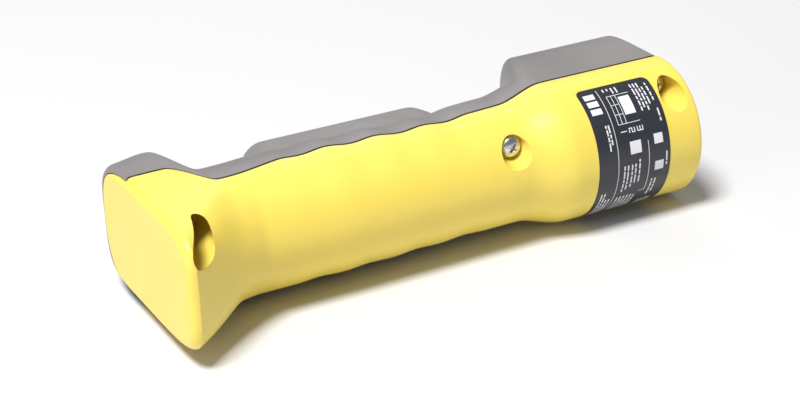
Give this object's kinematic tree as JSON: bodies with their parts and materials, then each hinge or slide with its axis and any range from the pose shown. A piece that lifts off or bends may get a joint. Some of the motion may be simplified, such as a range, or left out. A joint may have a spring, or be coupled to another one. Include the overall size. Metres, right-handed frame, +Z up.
{
  "type": "enabling grip switch",
  "caption": "Hand-held enabling switch: yellow and grey half shells round a long sprung rubber button, with a cable entry in the round end",
  "frame": {"origin": "middle of the bounding box, at its lowest height", "axes": "+X along the grip to the cable end, +Y to the pressing side with the button, -Y to the yellow back, +Z up; the grip lies on its side"},
  "size_m": [0.17, 0.069, 0.0424],
  "materials": {
    "yellow_shell": "satin",
    "grey_shell": "satin",
    "seal_rubber": "matte",
    "boot_rubber": "matte",
    "core_plastic": "satin",
    "plunger_plastic": "satin",
    "block_plastic": "satin",
    "tray_plastic": "satin",
    "tray_screw_steel": "zinc plated",
    "spring_steel": "plain",
    "screw_steel": "zinc plated",
    "insert_brass": "plain",
    "label_film": "semi-gloss",
    "terminal_plastic": "satin",
    "terminal_steel": "plain"
  },
  "bodies": {
    "housing": {"rear_cover": "yellow_shell", "front_cover": "grey_shell", "cover_seal_upper": "seal_rubber", "cover_seal_lower": "seal_rubber", "switch_block_1": "block_plastic", "switch_block_2": "block_plastic", "switch_tray": "tray_plastic", "tray_screw_1": "tray_screw_steel", "tray_screw_2": "tray_screw_steel", "return_spring_1": "spring_steel", "return_spring_2": "spring_steel", "housing_screw_1": "screw_steel", "housing_screw_2": "screw_steel", "housing_screw_3": "screw_steel", "thread_insert_1": "insert_brass", "thread_insert_2": "insert_brass", "thread_insert_3": "insert_brass", "rating_label": "label_film", "terminal_strip": "terminal_plastic", "terminal_screw_1": "terminal_steel", "terminal_screw_2": "terminal_steel", "terminal_screw_3": "terminal_steel", "terminal_screw_4": "terminal_steel"},
    "button": {"button_boot": "boot_rubber", "button_core": "core_plastic", "switch_plunger_1": "plunger_plastic", "switch_plunger_2": "plunger_plastic"}
  },
  "joints": [
    {"name": "button_slide", "type": "slide", "parent": "housing", "child": "button", "axis": [0, -1, 0], "range_m": [0, 0.0055], "stiffness_N_per_m": 1500, "springref_m": -0.002, "deforming": ["return_spring_1", "return_spring_2"]}
  ]
}
